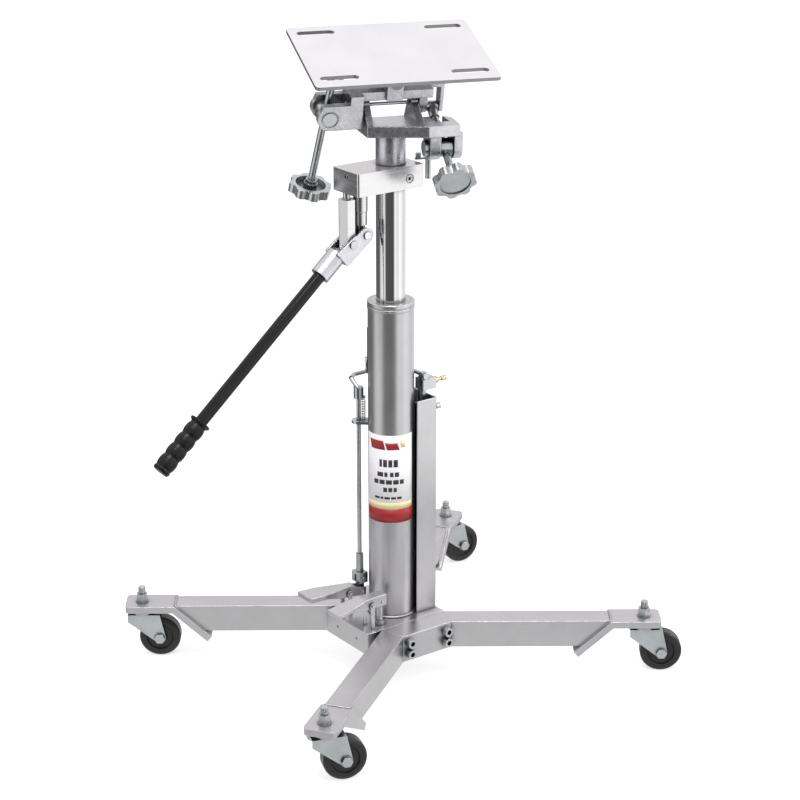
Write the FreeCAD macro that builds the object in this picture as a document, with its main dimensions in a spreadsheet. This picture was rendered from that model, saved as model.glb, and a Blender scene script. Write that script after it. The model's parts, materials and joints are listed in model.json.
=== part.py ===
import FreeCAD, Part
import Sketcher
import math
import os

# Two-stage transmission jack.  Millimetres.  The origin is on the floor under the mast axis,
# +Z is up and +X runs along the base block, away from the pedals.

DIMENSIONS = [
    ("block_back", 100, "base block, from mast axis to pedal face"),
    ("block_front", 72, "base block, from mast axis to far face"),
    ("block_half_width", 65, ""),
    ("block_bottom", 60, ""),
    ("frame_top", 104, "top of block, hub tubes and legs"),
    ("tube_side", 45, "leg and hub tube, across"),
    ("tube_height", 50, "leg and hub tube, upright"),
    ("tube_wall", 3, ""),
    ("hub_y", 88, "centre line of a hub tube"),
    ("joint_x", 61, "mitre between hub tube and leg"),
    ("stem_x", 353, "caster stem position"),
    ("stem_y", 298, ""),
    ("plate_thickness", 12.5, "caster plate"),
    ("plate_width", 57, ""),
    ("plate_outer", 29.5, "plate beyond the stem"),
    ("plate_bend", 62, "bend inboard of the stem"),
    ("plate_slope", 42, "angle of the bent part"),
    ("plate_drop", 60, "height of the bent part"),
    ("stud_radius", 6, ""),
    ("stud_top", 134, ""),
    ("wheel_radius", 38.1, "3 inch wheel"),
    ("wheel_width", 30, ""),
    ("trail", 32, "caster axle behind the stem"),
    ("fork_top", 84, ""),
    ("fork_sheet", 2.5, ""),
    ("fork_gap", 34, ""),
    ("axle_radius", 6, ""),
    ("running_gap", 0.05, "radial clearance of a running fit"),
    ("mast_radius", 41.2, ""),
    ("mast_bore", 36, "inner radius"),
    ("mast_top", 683, ""),
    ("gland_top", 697, ""),
    ("gland_radius", 42, ""),
    ("stage_radius", 33, ""),
    ("stage_bore", 28, "inner radius"),
    ("stage_bottom", 114, ""),
    ("ram_radius", 26, ""),
    ("ram_bottom", 330, ""),
    ("cover_near", 26.5, "column cover"),
    ("cover_far", 70.5, ""),
    ("cover_half_width", 43, ""),
    ("cover_wall", 2.5, ""),
    ("cover_top", 513, ""),
    ("motor_x", 54, "air motor axis"),
    ("motor_y", -20, ""),
    ("motor_radius", 13, ""),
    ("motor_top", 500, ""),
    ("valve_bottom", 526, ""),
    ("valve_top", 546, ""),
    ("inlet_radius", 4.4, ""),
    ("inlet_height", 537, ""),
    ("rod_x", -43, "control rod axis"),
    ("rod_y", 39, ""),
    ("rod_radius", 4, ""),
    ("guide_height", 466, ""),
    ("guide_thickness", 5, ""),
    ("release_y", -40, "centre plane of the release pedal"),
    ("release_pivot_x", -79, ""),
    ("release_pivot_z", 149, ""),
    ("plunger_x", -55.5, "release plunger axis"),
    ("lift_pivot_x", -73, ""),
    ("lift_pivot_z", 143, ""),
    ("pedal_half_width", 10, ""),
    ("pedal_sheet", 3, ""),
    ("pedal_pin_radius", 3, ""),
    ("head_back", 95, "head block"),
    ("head_front", 43, ""),
    ("head_half_width", 38, ""),
    ("head_bottom", 901, ""),
    ("head_top", 941, ""),
    ("pivot_radius", 12, "saddle swivel pin"),
    ("pump_y", 8, "centre plane of the hand pump"),
    ("fulcrum_x", -87, ""),
    ("fulcrum_z", 812, ""),
    ("fulcrum_flats", 27, "hexagon across flats"),
    ("piston_x", -58.5, "pump plunger axis"),
    ("piston_z", 824.5, "pump plunger pin"),
    ("piston_radius", 11.5, ""),
    ("yoke_gap", 29, ""),
    ("yoke_cheek", 5, ""),
    ("handle_angle", 41, "handle below the horizontal"),
    ("barrel_radius", 17.5, ""),
    ("barrel_start", 27, "from the fulcrum"),
    ("barrel_end", 76, ""),
    ("handle_radius", 11, ""),
    ("grip_start", 400, ""),
    ("grip_end", 508, ""),
    ("saddle_yaw", -20, "swivel of the saddle"),
    ("saddle_tilt", 16.4, "front edge down"),
    ("hinge_height", 1045, ""),
    ("hinge_radius", 8, ""),
    ("screw_radius", 6.5, ""),
    ("tip_pin_radius", 5, ""),
    ("front_trunnion_u", 83, ""),
    ("front_trunnion_v", -40, ""),
    ("front_trunnion_w", 972, ""),
    ("front_screw_rise", 36.03, "screw axis above the horizontal"),
    ("front_tip", 95.2, "trunnion to tip pivot"),
    ("front_knob", 75, "trunnion to knob centre"),
    ("side_trunnion_u", -113, ""),
    ("side_trunnion_w", -10, "from the hinge"),
    ("side_screw_lean", 7.6, ""),
    ("side_tip", 72.8, ""),
    ("side_knob", 146, ""),
    ("trunnion_radius", 16, ""),
    ("knob_radius", 37.5, ""),
    ("plate_length", 320, "saddle plate"),
    ("plate_depth", 219, ""),
    ("saddle_sheet", 6.35, ""),
    ("saddle_face", 82.5, "plate top face above the hinge"),
    ("saddle_centre", 25, "plate centre behind the hinge"),
    ("roll_height", 50, "side tilt axis above the hinge"),
    ("slot_length", 66, ""),
    ("slot_width", 14, ""),
    ("slot_u", 113, ""),
    ("slot_v", 83, ""),
    ("plate_shift", 4, "plate centre to the right of the saddle axis"),
    ("slot_shift", 3, "slots set back from the plate centre"),
]

doc = FreeCAD.newDocument("TransmissionJack")
sheet = doc.addObject("Spreadsheet::Sheet", "Dims")
nodes = []
V = FreeCAD.Vector
X_AXIS = V(1, 0, 0)
Y_AXIS = V(0, 1, 0)
Z_AXIS = V(0, 0, 1)
TURN = {
    "z": FreeCAD.Rotation(),
    "x": FreeCAD.Rotation(Y_AXIS, 90),
    "y": FreeCAD.Rotation(X_AXIS, -90),
}


class Size:
    """A number together with the spreadsheet expression that gives it."""

    def __init__(self, value, text):
        self.value = value
        self.text = text

    def __add__(self, other):
        other = size(other)
        return Size(self.value + other.value, "(%s + %s)" % (self.text, other.text))

    def __sub__(self, other):
        other = size(other)
        return Size(self.value - other.value, "(%s - %s)" % (self.text, other.text))

    def __mul__(self, other):
        other = size(other)
        return Size(self.value * other.value, "(%s * %s)" % (self.text, other.text))

    def __truediv__(self, other):
        other = size(other)
        return Size(self.value / other.value, "(%s / %s)" % (self.text, other.text))

    def __radd__(self, other):
        return size(other) + self

    def __rsub__(self, other):
        return size(other) - self

    def __rmul__(self, other):
        return size(other) * self

    def __neg__(self):
        return Size(-self.value, "(0 - %s)" % self.text)


class Dimensions:
    """Every row of the sheet as an attribute."""


def size(number):
    if isinstance(number, Size):
        return number
    return Size(float(number), "(%.6f)" % number)


def cosine(angle):
    angle = size(angle)
    return Size(math.cos(math.radians(angle.value)), "cos(%s)" % angle.text)


def sine(angle):
    angle = size(angle)
    return Size(math.sin(math.radians(angle.value)), "sin(%s)" % angle.text)


def fill_sheet():
    for row, (alias, value, note) in enumerate(DIMENSIONS, start=1):
        sheet.set("A%d" % row, alias)
        sheet.set("B%d" % row, str(value))
        sheet.setAlias("B%d" % row, alias)
        sheet.set("C%d" % row, note)
    doc.recompute()
    table = Dimensions()
    for alias, _, _ in DIMENSIONS:
        setattr(table, alias, Size(float(getattr(sheet, alias)), "Dims." + alias))
    return table


def bind(obj, path, number):
    number = size(number)
    if path.startswith("Placement"):
        obj.setExpression(path, number.text + " * 1 mm")
        return
    setattr(obj, path, number.value)
    obj.setExpression(path, number.text)


def place(obj, x=0, y=0, z=0, along="z"):
    point = V(size(x).value, size(y).value, size(z).value)
    obj.Placement = FreeCAD.Placement(point, TURN[along])
    bind(obj, "Placement.Base.x", x)
    bind(obj, "Placement.Base.y", y)
    bind(obj, "Placement.Base.z", z)
    return obj


def box(x_low, x_high, y_low, y_high, z_low, z_high):
    obj = doc.addObject("Part::Box", "Box")
    bind(obj, "Length", size(x_high) - x_low)
    bind(obj, "Width", size(y_high) - y_low)
    bind(obj, "Height", size(z_high) - z_low)
    return place(obj, x_low, y_low, z_low)


def rod(radius, low, high, a=0, b=0, along="z"):
    """A cylinder from low to high along an axis; a and b are the other two coordinates in order."""
    obj = doc.addObject("Part::Cylinder", "Rod")
    bind(obj, "Radius", radius)
    bind(obj, "Height", size(high) - low)
    spots = {"z": (a, b, low), "x": (low, a, b), "y": (a, low, b)}
    return place(obj, *spots[along], along=along)


def hexagon(flats, low, high, a=0, b=0, along="z"):
    obj = doc.addObject("Part::Prism", "Hexagon")
    obj.Polygon = 6
    bind(obj, "Circumradius", size(flats) / (2 * cosine(30)))
    bind(obj, "Height", size(high) - low)
    spots = {"z": (a, b, low), "x": (low, a, b), "y": (a, low, b)}
    return place(obj, *spots[along], along=along)


def fuse(*parts):
    if len(parts) == 1:
        return parts[0]
    obj = doc.addObject("Part::MultiFuse", "Joined")
    obj.Shapes = list(parts)
    obj.Refine = True
    return obj


def cut(base, *tools):
    obj = doc.addObject("Part::Cut", "Cut")
    obj.Base = base
    obj.Tool = fuse(*tools)
    return obj


def group(*parts):
    obj = doc.addObject("Part::Compound", "Set")
    obj.Links = list(parts)
    return obj


def moved(obj, placement):
    obj.Placement = placement
    return obj


def node(label, obj, placement=None):
    """Name a finished sub-part and, when given, set where its own frame sits."""
    if placement is not None:
        obj.Placement = placement
    obj.Label = label
    nodes.append(obj)
    return obj


def origin_plane(body, role):
    for feature in body.Origin.OriginFeatures:
        if feature.Role == role:
            return feature
    raise RuntimeError("no plane " + role)


def sketch_on(body, role):
    sketch = body.newObject("Sketcher::SketchObject", "Outline")
    sketch.AttachmentSupport = [(origin_plane(body, role), "")]
    sketch.MapMode = "FlatFace"
    return sketch


def outline(sketch, points):
    """A closed chain of lines whose corners are held by the sheet."""
    corners = [(size(a), size(b)) for a, b in points]
    count = len(corners)
    for index in range(count):
        a, b = corners[index]
        c, d = corners[(index + 1) % count]
        start = V(a.value, b.value, 0)
        end = V(c.value, d.value, 0)
        sketch.addGeometry(Part.LineSegment(start, end), False)
    for index in range(count):
        following = (index + 1) % count
        sketch.addConstraint(Sketcher.Constraint("Coincident", index, 2, following, 1))
    for index, (a, b) in enumerate(corners):
        for kind, number in (("DistanceX", a), ("DistanceY", b)):
            row = sketch.addConstraint(Sketcher.Constraint(kind, -1, 1, index, 1, number.value))
            sketch.setExpression("Constraints[%d]" % row, number.text)


def slab(role, points, thickness, low, round_radius=0, round_test=None):
    """A padded outline.  low is its lowest coordinate along the plane's normal."""
    body = doc.addObject("PartDesign::Body", "Body")
    sketch = sketch_on(body, role)
    outline(sketch, points)
    pad = body.newObject("PartDesign::Pad", "Pad")
    pad.Profile = sketch
    bind(pad, "Length", thickness)
    body.Tip = pad
    doc.recompute()
    if round_radius:
        edges = []
        for index, edge in enumerate(pad.Shape.Edges, start=1):
            if round_test(edge):
                edges.append("Edge%d" % index)
        fillet = body.newObject("PartDesign::Fillet", "Rounding")
        fillet.Base = (pad, edges)
        bind(fillet, "Radius", round_radius)
        body.Tip = fillet
    if role == "XZ_Plane":
        place(body, 0, size(low) + thickness, 0)
    elif role == "YZ_Plane":
        place(body, low, 0, 0)
    else:
        place(body, 0, 0, low)
    return body


def turned(points):
    """A lathe part: points are (radius, height) around the body's own Z axis."""
    body = doc.addObject("PartDesign::Body", "Body")
    sketch = sketch_on(body, "XZ_Plane")
    outline(sketch, points)
    solid = body.newObject("PartDesign::Revolution", "Turned")
    solid.Profile = sketch
    solid.ReferenceAxis = (sketch, ["V_Axis"])
    solid.Angle = 360
    body.Tip = solid
    return body


def socket_screw(radius, length, shank, reach):
    """Cap screw on its own Z axis: head above the plane, shank below."""
    head = rod(radius, 0, length)
    socket = hexagon(radius * 1.05, length * 0.45, length + 1)
    return fuse(cut(head, socket), rod(shank, -reach, 0))


def rounded(obj, radius, test):
    """Round the edges of a finished shape that pass the test."""
    doc.recompute()
    edges = []
    for index, edge in enumerate(obj.Shape.Edges, start=1):
        if test(edge):
            edges.append((index, radius, radius))
    fillet = doc.addObject("Part::Fillet", "Rounded")
    fillet.Base = obj
    fillet.Edges = edges
    return fillet


def is_upright(edge):
    return abs(edge.tangentAt(edge.FirstParameter).z) > 0.99 and edge.Curve.TypeId == "Part::GeomLine"


# ---------------------------------------------------------------- base


def bolt_spots():
    return [(x, z) for x in (-41, 41) for z in (69, 90)]


def base_block(d):
    block = box(-d.block_back, d.block_front, -d.block_half_width, d.block_half_width,
                d.block_bottom, d.frame_top)
    block = rounded(block, 3, is_upright)
    block = rounded(block, 4, lambda edge: edge.BoundBox.ZMax < d.block_bottom.value + 0.01)
    holes = [rod(d.stud_radius + d.running_gap, 76, d.frame_top + 1, d.plunger_x, d.release_y)]
    for x, z in bolt_spots():
        holes.append(rod(4.2, -d.block_half_width - 1, -40, x, z, "y"))
        holes.append(rod(4.2, 40, d.block_half_width + 1, x, z, "y"))
    for y in (-31, 29):
        holes.append(rod(3, -d.block_back - 1, -d.block_back + 12, y, 84, "x"))
    node("base_block", cut(block, *holes))


def base_plugs(d):
    plugs = []
    for y in (-31, 29):
        body = rod(2.9, -d.block_back + 0.6, -d.block_back + 12, y, 84, "x")
        socket = hexagon(2.5, -d.block_back, -d.block_back + 5, y, 84, "x")
        plugs.append(cut(body, socket))
    node("base_plugs", group(*plugs))


def leg_angle(d):
    run = d.stem_x.value - d.joint_x.value
    fall = d.stem_y.value - d.hub_y.value
    return math.degrees(math.atan2(fall, run))


def leg_length(d):
    return math.hypot(d.stem_x.value - d.joint_x.value, d.stem_y.value - d.hub_y.value)


def square_tube(d, x_low, x_high, y_middle):
    half = d.tube_side / 2
    inner = half - d.tube_wall
    bottom = d.frame_top - d.tube_height
    outside = box(x_low, x_high, y_middle - half, y_middle + half, bottom, d.frame_top)
    inside = box(size(x_low) - 1, size(x_high) + 1, y_middle - inner, y_middle + inner,
                 bottom + d.tube_wall, d.frame_top - d.tube_wall)
    return cut(outside, inside)


def hub_tube(d, side):
    """Short tube across one long face of the block, mitred for the two legs."""
    middle = d.hub_y * side
    tube = square_tube(d, -d.joint_x - 30, d.joint_x + 30, middle)
    half_turn = leg_angle(d) / 2
    tools = []
    for end in (-1, 1):
        cutter = box(0, 120, -90, 90, 0, 200)
        heading = half_turn * side if end > 0 else 180 - half_turn * side
        spot = V(d.joint_x.value * end, d.hub_y.value * side, 0)
        tools.append(moved(clear(cutter), FreeCAD.Placement(spot, FreeCAD.Rotation(Z_AXIS, heading))))
        tools[-1].Placement = tools[-1].Placement.multiply(FreeCAD.Placement(V(0, -90, 0), TURN["z"]))
    for x, z in bolt_spots():
        tools.append(rod(4.2, middle - 30, middle + 30, x, z, "y"))
    return cut(tube, *tools)


def clear(obj):
    """Drop the bound position so that the shape can be placed by hand."""
    for axis in "xyz":
        obj.setExpression("Placement.Base." + axis, None)
    return obj


def leg_frame(d, sx, sy):
    heading = math.degrees(math.atan2(sy * (d.stem_y.value - d.hub_y.value),
                                      sx * (d.stem_x.value - d.joint_x.value)))
    spot = V(d.joint_x.value * sx, d.hub_y.value * sy, 0)
    return FreeCAD.Placement(spot, FreeCAD.Rotation(Z_AXIS, heading))


def leg(d, sx, sy):
    """A leg in its own frame: +X runs from the hub mitre to the caster stem."""
    reach = leg_length(d)
    tube = square_tube(d, -30, reach, size(0))
    mitre = clear(box(-120, 0, -90, 90, 0, 200))
    turn = -leg_angle(d) / 2 if sx * sy > 0 else leg_angle(d) / 2
    mitre.Placement = FreeCAD.Placement(V(0, 0, 0), FreeCAD.Rotation(Z_AXIS, turn)).multiply(
        FreeCAD.Placement(V(-120, -90, 0), TURN["z"]))
    end = clear(box(0, 200, -90, 90, -200, 0))
    bend = FreeCAD.Placement(V(reach - d.plate_bend.value, 0, d.frame_top.value),
                             FreeCAD.Rotation(Y_AXIS, -d.plate_slope.value))
    end.Placement = bend.multiply(FreeCAD.Placement(V(-200, -90, -200), TURN["z"]))
    beyond = box(reach - d.plate_bend, reach + 200, -90, 90, 0, 200)
    return moved(cut(tube, mitre, end, beyond), leg_frame(d, sx, sy))


def caster_plate(d, sx, sy):
    """Thick bent plate that closes the leg's end and carries the stud."""
    reach = leg_length(d)
    back = d.plate_drop * cosine(d.plate_slope) / sine(d.plate_slope)
    inset = d.plate_thickness * sine(d.plate_slope)
    sink = d.plate_thickness * cosine(d.plate_slope)
    corner = d.plate_thickness * sine(d.plate_slope / 2) / cosine(d.plate_slope / 2)
    low = d.frame_top - d.plate_thickness
    points = [
        (reach + d.plate_outer, d.frame_top),
        (reach - d.plate_bend, d.frame_top),
        (reach - d.plate_bend - back, d.frame_top - d.plate_drop),
        (reach - d.plate_bend - back + inset, d.frame_top - d.plate_drop - sink),
        (reach - d.plate_bend + corner, low),
        (reach + d.plate_outer, low),
    ]
    body = slab("XZ_Plane", points, d.plate_width, -d.plate_width / 2)
    body = rounded(body, 9, lambda edge: is_upright(edge) and edge.CenterOfMass.x > reach)
    hole = rod(d.stud_radius, 80, 120, reach, 0)
    return moved(cut(body, hole), leg_frame(d, sx, sy))


def corners():
    return [("front", -1, -1), ("right", 1, -1), ("back", 1, 1), ("left", -1, 1)]


def undercarriage(d):
    node("front_hub_tube", hub_tube(d, -1))
    node("rear_hub_tube", hub_tube(d, 1))
    plates = []
    studs = []
    for name, sx, sy in corners():
        node(name + "_leg", leg(d, sx, sy))
        plates.append(caster_plate(d, sx, sy))
        studs.append(caster_stud(d, sx, sy))
    node("caster_plates", group(*plates))
    node("caster_studs", group(*studs))


def caster_stud(d, sx, sy):
    """Stud, nut, washer and fixed race of one caster."""
    low = d.frame_top - d.plate_thickness
    x = d.stem_x * sx
    y = d.stem_y * sy
    head_top = d.fork_top - d.fork_sheet - 0.3
    parts = [
        rod(d.stud_radius, head_top - 4, d.stud_top, x, y),
        rod(10, head_top - 4, head_top, x, y),
        rod(22, d.fork_top + 0.3, low, x, y),
        rod(11.8, d.frame_top, d.frame_top + 2, x, y),
        hexagon(19, d.frame_top + 2, d.frame_top + 16.5, x, y),
    ]
    return fuse(*parts)


def hub_bolts(d):
    bolts = []
    outer = d.hub_y.value + d.tube_side.value / 2
    for side in (-1, 1):
        for x, z in bolt_spots():
            bolt = socket_screw(8.4, 12, 4, 60)
            facing = FreeCAD.Rotation(X_AXIS, -90 * side)
            bolts.append(moved(bolt, FreeCAD.Placement(V(x, outer * side, z), facing)))
    node("hub_bolts", group(*bolts))


def fork_cheek(d, low):
    """One side plate of a caster fork with its axle boss."""
    points = [
        (-26, d.fork_top),
        (33, d.fork_top),
        (d.trail + 10.9, d.wheel_radius + 2),
        (d.trail - 9, d.wheel_radius - 6),
        (-26, d.fork_top - 14),
    ]
    plate = slab("XZ_Plane", points, d.fork_sheet, low)
    boss = rod(11, low, size(low) + d.fork_sheet, d.trail, d.wheel_radius, "y")
    return fuse(plate, boss)


def caster_fork(d):
    inner = d.fork_gap / 2
    outer = inner + d.fork_sheet
    crown = box(-26, 33, -outer, outer, d.fork_top - d.fork_sheet, d.fork_top)
    hole = rod(d.stud_radius + d.running_gap, 70, 90)
    axle = rod(d.axle_radius, -outer, outer, d.trail, d.wheel_radius, "y")
    head = hexagon(17, -outer - 6, -outer, d.trail, d.wheel_radius, "y")
    nut = hexagon(17, outer, outer + 7, d.trail, d.wheel_radius, "y")
    shell = fuse(cut(crown, hole), fork_cheek(d, inner), fork_cheek(d, -outer))
    return fuse(shell, axle, head, nut)


def caster_wheel(d):
    half = d.wheel_width / 2
    rim = d.wheel_radius
    bore = d.axle_radius + d.running_gap
    points = [
        (bore, -half), (12, -half), (14, -half + 3), (23, -half + 3), (25, -half),
        (31, -half), (rim - 2.5, -half + 1.5), (rim, -half + 5), (rim, half - 5),
        (rim - 2.5, half - 1.5), (31, half), (25, half), (23, half - 3), (14, half - 3),
        (12, half), (bore, half),
    ]
    return turned(points)


def casters(d):
    headings = {"front": -19, "left": -36.25, "right": -36.25, "back": -6}
    for name, sx, sy in corners():
        spot = V(d.stem_x.value * sx, d.stem_y.value * sy, 0)
        frame = FreeCAD.Placement(spot, FreeCAD.Rotation(Z_AXIS, headings[name]))
        node(name + "_fork", caster_fork(d), frame)
        axle = FreeCAD.Placement(V(d.trail.value, 0, d.wheel_radius.value), TURN["y"])
        node(name + "_wheel", caster_wheel(d), frame.multiply(axle))


# ---------------------------------------------------------------- mast and lift


def mast(d):
    top = d.mast_top
    tube = turned([
        (d.mast_bore, d.frame_top), (d.mast_radius, d.frame_top), (d.mast_radius, top),
        (d.mast_bore, top),
    ])
    node("mast_tube", tube)
    ring = turned([
        (d.stage_radius + d.running_gap, top), (d.gland_radius, top),
        (d.gland_radius, top + 4.4), (d.gland_radius - 1, top + 5), (d.gland_radius - 1, top + 6),
        (d.gland_radius, top + 6.6), (d.gland_radius, d.gland_top - 1),
        (d.gland_radius - 1, d.gland_top), (d.stage_radius + d.running_gap, d.gland_top),
    ])
    node("mast_gland_nut", ring)


def stage_tube(d):
    top = d.gland_top
    points = [
        (d.stage_bore, d.stage_bottom), (d.mast_bore - d.running_gap, d.stage_bottom),
        (d.mast_bore - d.running_gap, d.stage_bottom + 20), (d.stage_radius, d.stage_bottom + 20),
        (d.stage_radius, top), (d.ram_radius + d.running_gap, top),
        (d.ram_radius + d.running_gap, top - 20), (d.stage_bore, top - 20),
    ]
    node("stage_tube", turned(points))


def ram_tube(d):
    top = d.head_bottom + 10
    inner = d.ram_radius - 5
    points = [
        (inner, d.ram_bottom), (d.stage_bore - d.running_gap, d.ram_bottom),
        (d.stage_bore - d.running_gap, d.ram_bottom + 15), (d.ram_radius, d.ram_bottom + 15),
        (d.ram_radius, top), (inner, top),
    ]
    node("ram_tube", turned(points))


def column_cover(d):
    """C-shaped cover, open towards the mast and at the top."""
    wall = d.cover_wall
    half = d.cover_half_width
    outside = box(d.cover_near, d.cover_far, -half, half, d.frame_top, d.cover_top)
    outside = rounded(outside, 3, lambda edge: is_upright(edge) and edge.CenterOfMass.x > 60)
    inside = box(d.cover_near - 1, d.cover_far - wall, wall - half, half - wall,
                 d.frame_top - 1, d.cover_top + 1)
    hole = rod(4.5, d.cover_far - wall - 1, d.cover_far + 1, -25, 489, "x")
    node("column_cover", cut(outside, inside, hole))
    plug = turned([
        (0, -3), (4.4, -3), (4.4, 0), (6, 0), (6, 3), (5, 3.6), (5, 7), (4, 7.6), (4, 9),
        (5.4, 9.6), (5.4, 19), (0, 19),
    ])
    node("cover_plug", plug, FreeCAD.Placement(V(d.cover_far.value, -25, 489), TURN["x"]))


def air_motor(d):
    bottom = d.frame_top
    x = d.motor_x
    y = d.motor_y
    cylinder = rod(d.motor_radius, bottom, d.motor_top, x, y)
    cap = rod(9, d.motor_top, d.motor_top + 6, x, y)
    node("air_motor", fuse(cylinder, cap))


def valve(d):
    """Air valve block on the motor, its inlet plug and the button under the bent link."""
    x = d.motor_x
    y = d.motor_y
    block = box(x - 7, x + 23, y - 12, y + 12, d.valve_bottom, d.valve_top)
    block = rounded(block, 1.5, is_upright)
    block = fuse(block, box(x - 7, x + 4, y - 10, y, d.valve_top - 2, d.valve_top + 13))
    neck = rod(7.5, d.motor_top + 6, d.valve_bottom, x, y)
    bore = rod(d.inlet_radius - 1.2, x + 12, x + 27, y, d.inlet_height, "x")
    seat = rod(3 + d.running_gap, d.valve_top - 12, d.valve_top + 1, x, y + 6)
    stud = rod(5.5, y - 14, y - 9, x - 1.5, d.valve_top + 6.5, "y")
    node("valve_body", cut(fuse(block, neck, stud), bore, seat))
    outer = d.inlet_radius
    plug = turned([
        (1.5, -6), (outer - 1.2, -6), (outer - 1.2, 0), (6.5, 0), (6.5, 8), (outer - 0.4, 9),
        (outer - 0.4, 13), (outer - 1.4, 14.5), (outer - 1.4, 17.5), (outer, 19),
        (outer, 29), (1.5, 29),
    ])
    inlet_end = V(x.value + 23, y.value, d.inlet_height.value)
    node("air_inlet_plug", plug, FreeCAD.Placement(inlet_end, TURN["x"]))
    node("valve_button", rod(3, d.valve_top - 8, d.valve_top + 3, x, y + 6))


def rod_guide(d):
    """Guide plate welded to the mast, with the hole that the control rod slides in."""
    low = d.guide_height
    high = low + d.guide_thickness
    distance = math.hypot(d.rod_x.value, d.rod_y.value)
    plate = fuse(box(20, distance, -13, 13, low, high), rod(13, low, high, distance, 0))
    shape = cut(plate, rod(d.mast_radius, low - 1, high + 1),
                rod(d.rod_radius + d.running_gap, low - 1, high + 1, distance, 0))
    node("rod_guide", shape, rod_heading(d))


# ---------------------------------------------------------------- pedals and control rod


def bracket(d, x, z, y):
    """Two uprights and the fixed pin of one pedal."""
    inner = d.pedal_half_width + 0.8
    parts = []
    for low in (y + inner, y - inner - 3):
        post = box(size(x) - 3.5, size(x) + 3.5, low, low + 3, d.frame_top, z)
        parts.append(post)
        parts.append(rod(6, low, low + 3, x, z, "y"))
    parts.append(rod(d.pedal_pin_radius, y - inner - 5, y + inner + 5, x, z, "y"))
    return fuse(*parts)


def pedal_brackets(d):
    release = bracket(d, d.release_pivot_x, d.release_pivot_z, d.release_y)
    lift = bracket(d, d.lift_pivot_x, d.lift_pivot_z, d.rod_y)
    node("pedal_brackets", group(release, lift))


def pedal_shape(d, y, top, flange, tip, width, pivot, pin):
    half = d.pedal_half_width
    sheet = d.pedal_sheet
    gap = d.running_gap
    wide = width / 2
    tread = fuse(slab("XZ_Plane", top, width, y - wide), slab("XZ_Plane", tip, width, y - wide))
    near = slab("XY_Plane", [(-132, y - wide), (-70, y - half), (0, y - half), (0, y - 30), (-132, y - 30)],
                60, 120)
    far = slab("XY_Plane", [(-132, y + wide), (-70, y + half), (0, y + half), (0, y + 30), (-132, y + 30)],
               60, 120)
    parts = [
        cut(tread, near, far),
        slab("XZ_Plane", flange, sheet, y - half),
        slab("XZ_Plane", flange, sheet, y + half - sheet),
    ]
    hole = rod(d.pedal_pin_radius + gap, y - 20, y + 20, pivot[0], pivot[1], "y")
    shell = cut(fuse(*parts), hole)
    return fuse(shell, rod(d.pedal_pin_radius, y - half - 2, y + half + 2, pin[0], pin[1], "y"))


def release_pedal(d):
    top = [(-47, 161), (-47, 164), (-92, 164), (-156, 151.5), (-156, 148.5), (-92, 161)]
    tip = [(-126, 150.4), (-126, 157.4), (-156, 151.5), (-156, 144.5)]
    flange = [(-47, 143), (-47, 162), (-92, 162), (-140, 152.5), (-140, 148), (-92, 143)]
    shape = pedal_shape(d, d.release_y, top, flange, tip, 36,
                        (d.release_pivot_x, d.release_pivot_z), (d.plunger_x, 150))
    node("release_pedal", shape)
    x = d.plunger_x
    stem = fuse(rod(d.stud_radius, 84, 157, x, d.release_y), rod(9, d.frame_top + 0.5, 112, x, d.release_y))
    slot = box(x - 3.9, x + 3.9, d.release_y - 10, d.release_y + 10, 146.6, 153.4)
    node("release_plunger", cut(stem, slot))


def lift_pedal(d):
    top = [(-60, 152), (-60, 155), (-100, 157), (-165, 160), (-165, 157), (-100, 154)]
    tip = [(-132, 150), (-132, 158.5), (-165, 160), (-165, 151.5)]
    flange = [(-36, 132), (-36, 146), (-60, 153), (-100, 155), (-148, 157), (-148, 150), (-90, 137)]
    shape = pedal_shape(d, d.rod_y, top, flange, tip, 42,
                        (d.lift_pivot_x, d.lift_pivot_z), (d.rod_x, 139))
    node("lift_pedal", shape)


def rod_clevis(d):
    """Link, clevis and coupling nut below the control rod."""
    x = d.rod_x
    y = d.rod_y
    fork = box(x - 9, x + 9, y - 12.5, y + 12.5, 157, 177)
    gap = box(x - 10, x + 10, y - 4, y + 4, 156, 172)
    link = fuse(box(x - 7, x + 7, y - 4, y + 4, 139, 172), rod(7, y - 4, y + 4, x, 139, "y"))
    slot = box(x - 3.9, x + 3.9, y - 5, y + 5, 135.6, 142.4)
    pin = rod(4, y - 15, y + 15, x, 166, "y")
    parts = [cut(fork, gap), cut(link, slot), pin, hexagon(13, 177, 212, x, y)]
    node("rod_clevis", fuse(*parts))


def control_rod(d):
    x = d.rod_x
    y = d.rod_y
    node("control_rod", rod(d.rod_radius, 212, 512, x, y))
    points = [(x.value, y.value, 529), (x.value - 4, y.value + 18, 545), (x.value + 6, 62, 548.5),
              (20, 57, 552), (d.motor_x.value, 20, 552.8),
              (d.motor_x.value, d.motor_y.value + 5, d.valve_top.value + 7.3)]
    wire = Part.makePolygon([V(*point) for point in points])
    start = V(*points[1]).sub(V(*points[0]))
    ring = Part.Wire([Part.makeCircle(d.rod_radius.value, V(*points[0]), start)])
    link = doc.addObject("Part::Feature", "Link")
    link.Shape = wire.makePipeShell([ring], True, False, 2)
    ear = clear(box(46, 58, -4, 4, 512, 516))
    ear.Placement = rod_heading(d).multiply(ear.Placement)
    node("rod_head", fuse(rod(9, 512, 533, x, y), ear, link))


def rod_heading(d):
    """Turn whose +X points from the mast axis to the control rod."""
    heading = math.degrees(math.atan2(d.rod_y.value, d.rod_x.value))
    return FreeCAD.Placement(V(0, 0, 0), FreeCAD.Rotation(Z_AXIS, heading))


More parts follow.
